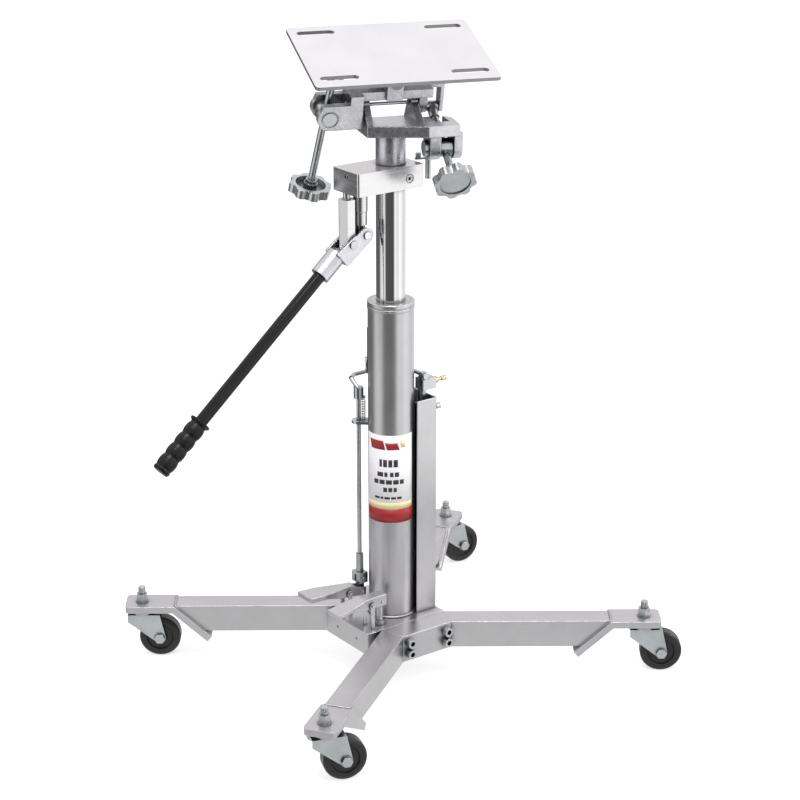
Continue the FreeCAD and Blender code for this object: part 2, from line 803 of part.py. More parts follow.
def return_spring(d):
    """Tension spring between the mast and the control rod."""
    low = d.guide_height.value + d.guide_thickness.value
    helix = doc.addObject("Part::Helix", "SpringLine")
    helix.Pitch = 3.2
    helix.Height = 37
    helix.Radius = 3.2
    ring = doc.addObject("Part::Circle", "SpringWire")
    ring.Radius = 0.8
    ring.Placement = FreeCAD.Placement(V(3.2, 0, 0), FreeCAD.Rotation(X_AXIS, 90))
    coil = doc.addObject("Part::Sweep", "Coil")
    coil.Sections = [ring]
    coil.Spine = (helix, ["Edge1"])
    coil.Solid = True
    coil.Frenet = True
    spot = rod_heading(d).multVec(V(49.5, 0, 0))
    node("return_spring", coil, FreeCAD.Placement(V(spot.x, spot.y, low + 1.2), TURN["z"]))


# ---------------------------------------------------------------- head and hand pump


def head_block(d):
    block = box(-d.head_back, d.head_front, -d.head_half_width, d.head_half_width,
                d.head_bottom, d.head_top)
    block = rounded(block, 4, is_upright)
    pivot = rod(d.pivot_radius, d.head_top, d.head_top + 26)
    bores = [
        rod(d.ram_radius, d.head_bottom - 1, d.head_bottom + 10),
        rod(d.piston_radius + 0.4, d.head_bottom - 1, d.head_top - 12, d.piston_x, d.pump_y),
        rod(6.5, -d.head_half_width - 1, -d.head_half_width + 12, 12.5, 919, "y"),
        rod(8.3, -d.head_half_width - 1, -d.head_half_width + 1.4, 12.5, 919, "y"),
        rod(4, -d.head_back - 1, -d.head_back + 10, -2, 931, "x"),
    ]
    node("head_block", cut(fuse(block, pivot), *bores))
    front = cut(rod(6.5, -d.head_half_width + 0.2, -d.head_half_width + 12, 12.5, 919, "y"),
                hexagon(5.5, -d.head_half_width - 1, -d.head_half_width + 6, 12.5, 919, "y"))
    side = cut(rod(4, -d.head_back - 1, -d.head_back + 10, -2, 931, "x"),
               hexagon(4, -d.head_back - 2, -d.head_back + 3, -2, 931, "x"))
    node("head_plugs", group(front, side))


def pump_fixed(d):
    """Hexagonal fulcrum post and plunger gland under the head."""
    x = d.fulcrum_x
    y = d.pump_y
    post = hexagon(d.fulcrum_flats, 800, 889, x, y)
    hole = rod(5 + d.running_gap, y - 20, y + 20, x, d.fulcrum_z, "y")
    node("fulcrum_post", fuse(cut(post, hole), rod(6.5, 889, d.head_bottom, x, y)))
    gap = d.running_gap
    gland = turned([
        (d.piston_radius + gap, 863), (11.9, 863), (12.6, 864.2), (12.6, 892), (11.9, 893),
        (11.9, 895), (12.6, 896), (12.6, d.head_bottom), (d.piston_radius + gap, d.head_bottom),
    ])
    node("pump_gland", place(gland, d.piston_x, y, 0))


def pump_plunger(d):
    y = d.pump_y
    stem = rod(d.piston_radius, 840, 924, d.piston_x, y)
    tang = rod(8, 815, 840, d.piston_x, y)
    outer = d.yoke_gap / 2 + d.yoke_cheek + 0.4
    pin = rod(4, y - outer - 1, y + outer + 1, d.piston_x, d.piston_z, "y")
    heads = fuse(rod(6.3, y - outer - 2.2, y - outer, d.piston_x, d.piston_z, "y"),
                 rod(6.3, y + outer, y + outer + 2.2, d.piston_x, d.piston_z, "y"))
    node("pump_plunger", fuse(stem, tang, pin, heads))


def yoke_frame(d):
    """Frame at the fulcrum whose +X runs outwards along the handle."""
    facing = FreeCAD.Rotation(Z_AXIS, 180).multiply(FreeCAD.Rotation(Y_AXIS, d.handle_angle.value))
    return FreeCAD.Placement(V(d.fulcrum_x.value, d.pump_y.value, d.fulcrum_z.value), facing)


def yoke_cheek(d, low):
    """Side plate of the yoke: (along the handle, across it) seen from the fulcrum."""
    points = [
        (d.barrel_start + 3, 12), (-12, 7.5), (-19, 5), (-32, 4.5), (-39, 0), (-43.5, -8.5),
        (-41, -17), (-31, -23), (d.barrel_start + 3, -20),
    ]
    plate = slab("XZ_Plane", points, d.yoke_cheek, low)
    hole = rod(5, size(low) - 1, size(low) + 10, 0, 0, "y")
    return cut(plate, hole)


def handle(d):
    """Yoke, its fulcrum pin, the tube and the grip, all in the yoke frame."""
    frame = yoke_frame(d)
    gap = d.yoke_gap / 2
    cheeks = fuse(yoke_cheek(d, gap), yoke_cheek(d, -gap - d.yoke_cheek))
    half = gap + d.yoke_cheek
    neck = box(d.barrel_start, d.barrel_start + 6, -half, half, -18, 12)
    barrel = rod(d.barrel_radius, d.barrel_start, d.barrel_end, 0, 0, "x")
    socket = rod(d.handle_radius, d.barrel_start + 8, d.barrel_end + 1, 0, 0, "x")
    slot = pump_slot(d)
    node("handle_yoke", cut(fuse(cheeks, neck, barrel), socket, slot), frame)
    pin = fuse(rod(5, -half - 1, half + 1, 0, 0, "y"), rod(7, half, half + 3, 0, 0, "y"),
               rod(6, -half - 1.5, -half, 0, 0, "y"))
    node("fulcrum_pin", pin, frame)
    tube = turned([
        (d.handle_radius - 2, d.barrel_start + 8), (d.handle_radius, d.barrel_start + 8),
        (d.handle_radius, d.grip_end - 6), (d.handle_radius - 2, d.grip_end - 6),
    ])
    outward = FreeCAD.Placement(V(0, 0, 0), TURN["x"])
    node("handle_tube", tube, frame.multiply(outward))
    node("handle_grip", grip(d), frame.multiply(outward))


def pump_slot(d):
    """Slot for the plunger pin, pointing at the fulcrum."""
    across = d.piston_x.value - d.fulcrum_x.value
    rise = d.piston_z.value - d.fulcrum_z.value
    distance = math.hypot(across, rise)
    lean = math.degrees(math.atan2(rise, across)) - d.handle_angle.value
    slot = fuse(rod(4.7, -40, 40, distance - 3, 0, "y"), rod(4.7, -40, 40, distance + 2, 0, "y"),
                box(distance - 3, distance + 2, -40, 40, -4.7, 4.7))
    facing = FreeCAD.Rotation(Y_AXIS, 180 + lean)
    return moved(slot, FreeCAD.Placement(V(0, 0, 0), facing))


def grip(d):
    """Grip with a flange at the inner end and four finger lobes."""
    inner = d.handle_radius
    start = d.grip_start
    points = [(inner, start), (19, start), (19, start + 3), (15, start + 6)]
    pitch = (d.grip_end - start - 16) / 4
    for lobe in range(4):
        first = start + 8 + pitch * lobe
        points.append((14.5, first))
        points.append((16.3, first + pitch * 0.25))
        points.append((16.8, first + pitch * 0.5))
        points.append((16.3, first + pitch * 0.75))
    points += [(14.5, d.grip_end - 8), (16, d.grip_end - 5), (14, d.grip_end), (0, d.grip_end),
               (0, d.grip_end - 5.5), (inner, d.grip_end - 5.5)]
    return turned(points)


# ---------------------------------------------------------------- saddle


def yaw_frame(d):
    return FreeCAD.Placement(V(0, 0, 0), FreeCAD.Rotation(Z_AXIS, d.saddle_yaw.value))


def tilt_pose(d):
    hinge = FreeCAD.Placement(V(0, 0, d.hinge_height.value), FreeCAD.Rotation(X_AXIS, d.saddle_tilt.value))
    return yaw_frame(d).multiply(hinge)


def front_screw_frame(d):
    spot = V(d.front_trunnion_u.value, d.front_trunnion_v.value, d.front_trunnion_w.value)
    facing = FreeCAD.Rotation(X_AXIS, d.front_screw_rise.value - 90)
    return yaw_frame(d).multiply(FreeCAD.Placement(spot, facing))


def side_screw_frame(d):
    spot = V(d.side_trunnion_u.value, 0, d.side_trunnion_w.value)
    facing = FreeCAD.Rotation(Y_AXIS, d.side_screw_lean.value)
    return tilt_pose(d).multiply(FreeCAD.Placement(spot, facing))


def hinge_upright(d, low, high, near):
    """Ear of the lower casting that holds the hinge rod."""
    w = d.hinge_height
    plate = slab("YZ_Plane", [(near, 1013), (34, 1013), (12.5, w + 2), (-12.5, w + 2)],
                 size(high) - low, low)
    return fuse(plate, rod(13, low, high, 0, w, "x"))


def front_lug(d, low, high):
    v = d.front_trunnion_v
    w = d.front_trunnion_w
    plate = slab("YZ_Plane", [(v - 20, w), (v - 22, 1000), (-12, 1000), (v + 20, w)], size(high) - low, low)
    return fuse(plate, rod(20, low, high, v, w, "x"))


def saddle_base(d):
    """Lower casting: swivel boss, deck, two hinge ears and the front clevis."""
    boss = rod(26, d.head_top + 0.3, 997)
    deck = slab("XY_Plane", [
        (-51, -36), (34, -59), (49, -65), (105, -63), (108, 0), (96, 12), (62, 14), (48, 36), (-51, 36),
    ], 19.5, 995)
    u = d.front_trunnion_u
    parts = [boss, deck, hinge_upright(d, -51, -40, -36), hinge_upright(d, 33, 45, -56),
             front_lug(d, 53, u - 11.5), front_lug(d, u + 12.5, 110)]
    w = d.hinge_height
    bores = [
        rod(d.pivot_radius + d.running_gap, d.head_top, d.head_top + 27),
        rod(d.hinge_radius, -60, 70, 0, w, "x"),
        rod(10 + d.running_gap, 50, 112, d.front_trunnion_v, d.front_trunnion_w, "x"),
        box(u - 11.5, u + 12.5, -31, 60, 980, 1030),
    ]
    node("saddle_base", cut(fuse(*parts), *bores), yaw_frame(d))
    lock = fuse(rod(5.5, 909, 995, 68, 2), hexagon(15, 950, 957, 68, 2),
                box(44, 68, -1, 5, 943.5, 946), hexagon(9, 946, 955, 50, 2))
    node("swivel_lock", moved(lock, yaw_frame(d)))
    wide = d.hinge_radius
    pin = turned([
        (0, -80), (wide - 1, -80), (wide, -79), (wide, -40), (3, -40), (3, 33), (wide, 33),
        (wide, 63), (wide - 1, 64), (0, 64),
    ])
    lying = FreeCAD.Placement(V(0, 0, w.value), TURN["x"])
    node("hinge_rod", pin, yaw_frame(d).multiply(lying))


def side_lug(d, low, high):
    """Long ear of the side clevis, which runs back to the hinge wall."""
    u = d.side_trunnion_u
    w = d.side_trunnion_w
    plate = slab("XZ_Plane", [
        (u - 20, w + 4), (u - 12, 14), (-60, 14), (-56, 12), (-56, -31), (u, w - 21),
    ], size(high) - low, low)
    ear = fuse(plate, rod(21, low, high, u, w, "y"))
    face = low if low < 0 else high
    return cut(ear, rod(15.2, face - 1.2, face + 1.2, u, w, "y"))


def tip_lug(d, low, high):
    """Rear ear that takes the front screw's tip pin."""
    v, w = tip_spot(d)
    plate = slab("YZ_Plane", [(v - 11, w), (20, 20), (46, 20), (v + 11, w)], size(high) - low, low)
    return fuse(plate, rod(11, low, high, v, w, "x"))


def tip_spot(d):
    """The front screw's tip pivot in the tilt frame, as (v, w)."""
    along = yaw_frame(d).inverse().multiply(front_screw_frame(d)).multVec(V(0, 0, d.front_tip.value))
    local = tilt_pose(d).inverse().multVec(yaw_frame(d).multVec(along))
    return local.y, local.z


def tilt_frame(d):
    """Upper casting: hinge wall, long bar, spine with the roll bore and rear arm."""
    ends = (-22, 62)
    wall = box(-78, -56, -28.5, 28.5, -30, 30)
    right_ear = fuse(box(47, 60, -13, 13, 0, 20), rod(13, 47, 60, 0, 0, "x"))
    bar = box(-60, 70, -15, 15, 14, 30)
    spine = box(-14, 14, ends[0], ends[1], 16, 44)
    roll = rod(12, ends[0], ends[1], 0, d.roll_height, "y")
    right_arm = fuse(box(40, 70, -2, 46, 14, 30), box(64, 101, 20, 46, 14, 30))
    parts = [wall, right_ear, bar, spine, roll, right_arm, side_lug(d, 16.5, 28.5),
             side_lug(d, -28.5, -16.5), tip_lug(d, 65, 71.5), tip_lug(d, 94.5, 101)]
    v, w = tip_spot(d)
    bores = [
        rod(d.hinge_radius + d.running_gap, -90, 70, 0, 0, "x"),
        rod(6 + d.running_gap, -40, 80, 0, d.roll_height, "y"),
        rod(12.2 + d.running_gap, -40, 40, d.side_trunnion_u, d.side_trunnion_w, "y"),
        rod(d.tip_pin_radius + 0.8, 60, 110, v, w, "x"),
    ]
    node("tilt_frame", cut(fuse(*parts), *bores), tilt_pose(d))


def plate_slot(d, su, sv):
    u = d.plate_shift + d.slot_u * su
    v = d.saddle_centre + d.slot_shift + d.slot_v * sv
    radius = d.slot_width / 2
    reach = d.slot_length / 2 - radius
    low = d.saddle_face - d.saddle_sheet - 1
    high = d.saddle_face + 1
    return fuse(rod(radius, low, high, u - reach, v), rod(radius, low, high, u + reach, v),
                box(u - reach, u + reach, v - radius, v + radius, low, high))


def saddle_plate(d):
    """Slotted plate with the ears of the roll pin and of the side screw's tip."""
    under = d.saddle_face - d.saddle_sheet
    middle = d.saddle_centre
    across = d.plate_shift
    sheet = box(across - d.plate_length / 2, across + d.plate_length / 2,
                middle - d.plate_depth / 2, middle + d.plate_depth / 2, under, d.saddle_face)
    sheet = rounded(sheet, 7, is_upright)
    slots = [plate_slot(d, su, sv) for su in (-1, 1) for sv in (-1, 1)]
    ears = []
    for low in (-29, 62.5):
        ears.append(slab("XZ_Plane", [(-24, under), (24, under), (11, 50), (-11, 50)], 6.5, low))
        ears.append(rod(11, low, low + 6.5, 0, d.roll_height, "y"))
    tip_u = d.side_trunnion_u + d.side_tip * sine(d.side_screw_lean)
    tip_w = d.side_trunnion_w + d.side_tip * cosine(d.side_screw_lean)
    for low in (-18.5, 12):
        ears.append(slab("XZ_Plane", [(tip_u - 18, under), (tip_u + 18, under), (tip_u + 13, tip_w),
                                      (tip_u - 13, tip_w)], 6.5, low))
        ears.append(box(tip_u - 13, tip_u + 13, low, low + 6.5, tip_w - 8, tip_w + 2))
    pin = rod(6, -29, 69, 0, d.roll_height, "y")
    gap = fuse(rod(5.6, -30, 30, tip_u - 3, tip_w, "y"), rod(5.6, -30, 30, tip_u + 3, tip_w, "y"),
               box(tip_u - 3, tip_u + 3, -30, 30, tip_w - 5.6, tip_w + 5.6))
    shape = fuse(cut(sheet, *slots), cut(fuse(*ears), gap), pin)
    node("saddle_plate", shape, tilt_pose(d))


def trunnion(d, journal, low, high, along):
    half = 11 if along == "x" else 16
    body = fuse(rod(d.trunnion_radius, -half, half, 0, 0, along), rod(journal, low, high, 0, 0, along))
    return cut(body, rod(d.screw_radius + d.running_gap, -40, 40))


def screw_tip(d, distance, half, along, pin_half):
    """Eye that the screw turns in, with its cross pin."""
    barrel = rod(9, -half, half, 0, distance, along)
    neck = rod(8.6, distance - 28, distance)
    socket = rod(d.screw_radius + d.running_gap, distance - 30, distance - 12)
    pin = rod(d.tip_pin_radius, -pin_half, pin_half, 0, distance, along)
    return fuse(cut(fuse(barrel, neck), socket), pin)


def screw(d, low, high):
    """Plain length of an adjusting screw with chamfered ends."""
    radius = d.screw_radius
    return turned([
        (0, low), (radius - 1.2, low), (radius, size(low) + 1.2), (radius, size(high) - 1.2),
        (radius - 1.2, high), (0, high),
    ])


def lobed_knob(d, middle):
    """Eight-lobed hand wheel: a shallow dish outside, a deep one with the hub inside."""
    middle = size(middle)
    core = d.knob_radius - 5
    parts = [rod(core, middle - 8, middle + 8)]
    for lobe in range(8):
        angle = math.radians(45 * lobe)
        reach = d.knob_radius - 10
        parts.append(rod(10, middle - 8, middle + 8, reach * math.cos(angle), reach * math.sin(angle)))
    dishes = [rod(core - 5.5, middle - 9, middle - 5.5), rod(core - 6, middle - 2.5, middle + 9)]
    wheel = cut(fuse(*parts), *dishes)
    hub = fuse(rod(12, middle - 4, middle + 10), hexagon(19, middle + 10, middle + 17))
    bore = rod(d.screw_radius, middle - 2, middle + 18)
    return cut(fuse(wheel, hub), bore)


def screws(d):
    front = front_screw_frame(d)
    side = side_screw_frame(d)
    lug_face = 53 - d.front_trunnion_u
    head = rod(14, lug_face - 6.5, lug_face - 0.4, 0, 0, "x")
    node("front_trunnion", fuse(trunnion(d, 10, lug_face - 2, 26, "x"), head), front)
    node("side_trunnion", trunnion(d, 12.2, -28.5, 28.5, "y"), side)
    node("front_screw_tip", screw_tip(d, d.front_tip, 10.5, "x", 18), front)
    node("side_screw_tip", screw_tip(d, d.side_tip, 11, "y", 18), side)
    node("front_screw", screw(d, -d.front_knob - 2, d.front_tip - 13), front)
    node("side_screw", screw(d, -d.side_knob - 2, d.side_tip - 13), side)
    node("front_knob", lobed_knob(d, -d.front_knob), front)
    node("side_knob", lobed_knob(d, -d.side_knob), side)


def build():
    d = fill_sheet()
    base_block(d)
    base_plugs(d)
    undercarriage(d)
    hub_bolts(d)
    casters(d)
    mast(d)
    stage_tube(d)
    ram_tube(d)
    column_cover(d)
    air_motor(d)
    valve(d)
    rod_guide(d)
    pedal_brackets(d)
    release_pedal(d)
    lift_pedal(d)
    rod_clevis(d)
    control_rod(d)
    return_spring(d)
    head_block(d)
    pump_fixed(d)
    pump_plunger(d)
    handle(d)
    saddle_base(d)
    tilt_frame(d)
    saddle_plate(d)
    screws(d)


def check_and_write():
    doc.recompute()
    for obj in doc.Objects:
        if "Invalid" in obj.State or "Error" in obj.State:
            raise RuntimeError("%s (%s) is in state %s" % (obj.Name, obj.Label, obj.State))
    os.makedirs("parts", exist_ok=True)
    for obj in nodes:
        shape = obj.Shape
        if shape.isNull() or not shape.isValid() or not shape.Solids:
            raise RuntimeError(obj.Label + " has no valid solid")
        shape.exportStep("parts/%s.step" % obj.Label)
        print(obj.Label, len(shape.Solids), round(shape.Volume / 1000.0, 2))


build()
check_and_write()
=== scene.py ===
"""Visual model of a two-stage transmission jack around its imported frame."""
import bpy
import bmesh
import json
import math
from mathutils import Matrix, Vector


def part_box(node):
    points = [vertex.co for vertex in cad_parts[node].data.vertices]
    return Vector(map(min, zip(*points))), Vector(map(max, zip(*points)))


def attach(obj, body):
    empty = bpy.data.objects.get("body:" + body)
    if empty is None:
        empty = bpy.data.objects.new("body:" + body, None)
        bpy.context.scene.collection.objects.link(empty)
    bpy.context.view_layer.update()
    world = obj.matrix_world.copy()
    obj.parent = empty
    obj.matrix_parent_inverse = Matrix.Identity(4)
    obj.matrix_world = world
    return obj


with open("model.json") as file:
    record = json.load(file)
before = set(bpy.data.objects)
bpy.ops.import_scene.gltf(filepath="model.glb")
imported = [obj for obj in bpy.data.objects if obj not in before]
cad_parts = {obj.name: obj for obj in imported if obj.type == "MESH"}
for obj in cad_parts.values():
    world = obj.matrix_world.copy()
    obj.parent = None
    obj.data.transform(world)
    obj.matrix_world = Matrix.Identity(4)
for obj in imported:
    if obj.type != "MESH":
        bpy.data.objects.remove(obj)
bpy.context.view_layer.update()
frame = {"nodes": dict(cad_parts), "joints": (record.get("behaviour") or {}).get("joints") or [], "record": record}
NODES = frame["nodes"]

# Sizes that the frame doesn't give, in metres and degrees.
HUB_JOINT_X = 0.061
HUB_JOINT_Y = 0.088
LEG_HALF_WIDTH = 0.0225
LEG_HEIGHT = 0.050
PLATE_BEND = 0.062
PLATE_SLOPE = math.radians(42.0)
SADDLE_YAW = math.radians(-20.0)
SADDLE_TILT = math.radians(16.4)
SADDLE_TURN = Matrix.Rotation(SADDLE_YAW, 3, "Z") @ Matrix.Rotation(SADDLE_TILT, 3, "X")
SADDLE_NORMAL = SADDLE_TURN @ Vector((0, 0, 1))
MAST_LOW, MAST_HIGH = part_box("mast_tube")
MAST_RADIUS = (MAST_HIGH[0] - MAST_LOW[0]) / 2

# Studio: angles are measured from the camera's side, brightness runs round the walls.
CAMERA_AZIMUTH = -126.0
CAMERA_PLACE = (-2.208, -3.0383, 1.8378)
CAMERA_AIM = (0.0129, -0.0094, 0.510)
CAMERA_LENS = 100.86
FLOOR_REACH = 60.0
FLOOR_GLOW = 0.66
BOUNCE_REACH = 0.9
WALL_STRENGTH = 2.0
CEILING = (0.53, 0.52, 0.53, 1.0)
WALLS = (
    (-180, 0.36), (-160, 0.09), (-98, 0.07), (-84, 0.52), (-50, 0.56), (-37, 0.06), (20, 0.05),
    (34, 0.72), (54, 0.52), (70, 0.74), (88, 0.70), (104, 0.56), (120, 0.50), (150, 0.56),
    (180, 0.36),
)

# Surface detail shared by several materials.
# Painted shade: dark steel for the plate's faces that don't look along its top, such as slot walls.
SHADED_SIDE_STEEL = (0.30, 0.30, 0.31)
SPREAD = [(0.3, 0.0), (0.7, 1.0)]
# Reach of the painted shade in slots and inner corners, on smooth parts and on castings.
CREVICE_SHADE_REACH = 0.014
CAST_CREVICE_SHADE_REACH = 0.022
BEAD_SIDES = 8

# ---------------------------------------------------------------- materials


class Tree:
    """Short calls for building one material's nodes."""

    def __init__(self, name):
        self.material = bpy.data.materials.new(name)
        self.material.use_nodes = True
        self.nodes = self.material.node_tree.nodes
        self.links = self.material.node_tree.links
        self.shader = self.nodes["Principled BSDF"]
        self.coords = self.nodes.new("ShaderNodeTexCoord").outputs["Object"]

    def link(self, source, target):
        self.links.new(source, target)

    def set(self, **values):
        for key, value in values.items():
            self.shader.inputs[key.replace("_", " ")].default_value = value

    def noise(self, scale, detail=4.0, roughness=0.55, stretch=None):
        node = self.nodes.new("ShaderNodeTexNoise")
        node.inputs["Scale"].default_value = scale
        node.inputs["Detail"].default_value = detail
        node.inputs["Roughness"].default_value = roughness
        self.link(self.mapped(stretch), node.inputs["Vector"])
        return node.outputs["Fac"]

    def mapped(self, stretch):
        if stretch is None:
            return self.coords
        mapping = self.nodes.new("ShaderNodeMapping")
        mapping.inputs["Scale"].default_value = stretch
        self.link(self.coords, mapping.inputs["Vector"])
        return mapping.outputs["Vector"]

    def voronoi(self, scale):
        node = self.nodes.new("ShaderNodeTexVoronoi")
        node.inputs["Scale"].default_value = scale
        self.link(self.coords, node.inputs["Vector"])
        return node.outputs["Distance"]

    def ramp(self, source, stops):
        node = self.nodes.new("ShaderNodeValToRGB")
        elements = node.color_ramp.elements
        while len(elements) < len(stops):
            elements.new(0.5)
        for element, (position, value) in zip(elements, stops):
            element.position = position
            shade = value if isinstance(value, tuple) else (value, value, value)
            element.color = (*shade, 1.0)
        self.link(source, node.inputs["Fac"])
        return node.outputs["Color"]

    def mix(self, factor, first, second, blend="MIX"):
        node = self.nodes.new("ShaderNodeMix")
        node.data_type = "RGBA"
        node.blend_type = blend
        self.plug(factor, node.inputs[0])
        self.plug(first, node.inputs[6])
        self.plug(second, node.inputs[7])
        return node.outputs[2]

    def plug(self, value, socket):
        if isinstance(value, tuple):
            socket.default_value = (*value, 1.0)
        elif isinstance(value, float):
            socket.default_value = value
        else:
            self.link(value, socket)

    def bevelled(self, radius):
        """Normal that rounds sharp edges by a small radius."""
        node = self.nodes.new("ShaderNodeBevel")
        node.samples = 4
        node.inputs["Radius"].default_value = radius
        return node.outputs["Normal"]

    def edge_mask(self, rounded):
        """About 1 where the rounded normal leaves the true one, so on edges."""
        true_normal = self.nodes.new("ShaderNodeNewGeometry").outputs["Normal"]
        dot = self.nodes.new("ShaderNodeVectorMath")
        dot.operation = "DOT_PRODUCT"
        self.link(rounded, dot.inputs[0])
        self.link(true_normal, dot.inputs[1])
        return self.ramp(dot.outputs["Value"], [(0.86, 1.0), (0.985, 0.0)])

    def painted_corner_shade(self, colour, reach, darkest):
        """Painted shade: colour multiplied down in slots and inner corners narrower than reach, where shade falls.
        """
        node = self.nodes.new("ShaderNodeAmbientOcclusion")
        node.samples = 8
        node.inputs["Distance"].default_value = reach
        shade = self.ramp(node.outputs["AO"], [(0.3, darkest), (0.9, 1.0)])
        return self.mix(1.0, colour, shade, "MULTIPLY")

    def facing(self, direction):
        """About 1 on faces that look along direction in the piece's own axes."""
        dot = self.nodes.new("ShaderNodeVectorMath")
        dot.operation = "DOT_PRODUCT"
        self.link(self.nodes.new("ShaderNodeTexCoord").outputs["Normal"], dot.inputs[0])
        dot.inputs[1].default_value = direction
        return self.ramp(dot.outputs["Value"], [(0.55, 0.0), (0.9, 1.0)])

    def bump(self, layers, previous=None):
        """layers is a list of (height, strength, distance)."""
        for height, strength, distance in layers:
            node = self.nodes.new("ShaderNodeBump")
            node.inputs["Strength"].default_value = strength
            node.inputs["Distance"].default_value = distance
            self.link(height, node.inputs["Height"])
            if previous is not None:
                self.link(previous, node.inputs["Normal"])
            previous = node.outputs["Normal"]
        self.link(previous, self.shader.inputs["Normal"])


def metal(name, low, high, rough, metallic=1.0, grain=900.0, lift=0.15, blotch=12.0, stretch=None,
          edge=None, edge_radius=0.0006, specular=0.5, crevice_shade=0.22, lit_face=None):
    """A metallic surface: blotchy tone and sheen, fine grain, edges lighter from wear and a painted highlight,
    painted shade in corners and on sides.
    """
    tree = Tree(name)
    tone = tree.noise(blotch, 5.0, 0.6, stretch)
    fine = tree.noise(grain, 3.0, 0.6, stretch)
    colour = tree.mix(tree.ramp(tone, SPREAD), low, high)
    speck = tree.ramp(fine, [(0.35, 0.93), (0.65, 1.0)])
    colour = tree.mix(1.0, colour, speck, "MULTIPLY")
    rounded = tree.bevelled(edge_radius)
    if edge is not None:
        # Lighter edges: partly wear, partly a painted highlight where rounded edges catch the light.
        wear_and_highlight = tree.ramp(tree.noise(90.0, 4.0, 0.7), [(0.35, 0.15), (0.6, 0.9)])
        mask = tree.mix(1.0, tree.edge_mask(rounded), wear_and_highlight, "MULTIPLY")
        colour = tree.mix(mask, colour, edge)
    # Painted shade: faces that don't look along the given direction, such as slot walls, take the dark steel.
    if lit_face is not None:
        colour = tree.mix(tree.facing(lit_face), SHADED_SIDE_STEEL, colour)
    # Painted shade in slots and inner corners.
    colour = tree.painted_corner_shade(colour, CREVICE_SHADE_REACH, crevice_shade)
    tree.link(colour, tree.shader.inputs["Base Color"])
    tree.link(tree.ramp(tone, [(0.2, rough[0]), (0.8, rough[1])]), tree.shader.inputs["Roughness"])
    tree.set(Metallic=metallic, Specular_IOR_Level=specular)
    tree.bump([(fine, lift, 0.0004)], rounded)
    return tree.material


def casting(name):
    """Painted sand casting: pebbled skin, uneven sheen, edges lighter from wear and a painted highlight, painted
    shade in crevices.
    """
    tree = Tree(name)
    tone = tree.noise(28.0, 5.0, 0.65)
    lumps = tree.noise(160.0, 3.0, 0.6)
    pits = tree.voronoi(420.0)
    blotches = tree.ramp(tone, [(0.32, 0.0), (0.68, 1.0)])
    colour = tree.mix(blotches, (0.52, 0.52, 0.54), (0.67, 0.67, 0.70))
    rounded = tree.bevelled(0.0025)
    # Lighter edges: partly wear, partly a painted highlight.
    wear_and_highlight = tree.ramp(lumps, [(0.4, 0.1), (0.6, 0.9)])
    mask = tree.mix(1.0, tree.edge_mask(rounded), wear_and_highlight, "MULTIPLY")
    colour = tree.mix(mask, colour, (0.80, 0.80, 0.83))
    # Painted shade in crevices.
    colour = tree.painted_corner_shade(colour, CAST_CREVICE_SHADE_REACH, 0.2)
    tree.link(colour, tree.shader.inputs["Base Color"])
    tree.link(tree.ramp(lumps, [(0.3, 0.24), (0.7, 0.38)]), tree.shader.inputs["Roughness"])
    tree.set(Metallic=1.0)
    tree.bump([(lumps, 0.34, 0.0012), (pits, 0.30, 0.0004)], rounded)
    return tree.material


def printed(name, colour, shade, rough=0.34):
    """Vinyl or ink on the mast label, with slight unevenness."""
    tree = Tree(name)
    tone = tree.noise(60.0, 4.0, 0.6)
    tree.link(tree.mix(tree.ramp(tone, SPREAD), colour, shade),
              tree.shader.inputs["Base Color"])
    tree.link(tree.ramp(tone, [(0.2, rough), (0.8, rough + 0.12)]), tree.shader.inputs["Roughness"])
    tree.bump([(tree.noise(350.0), 0.05, 0.0003)])
    return tree.material


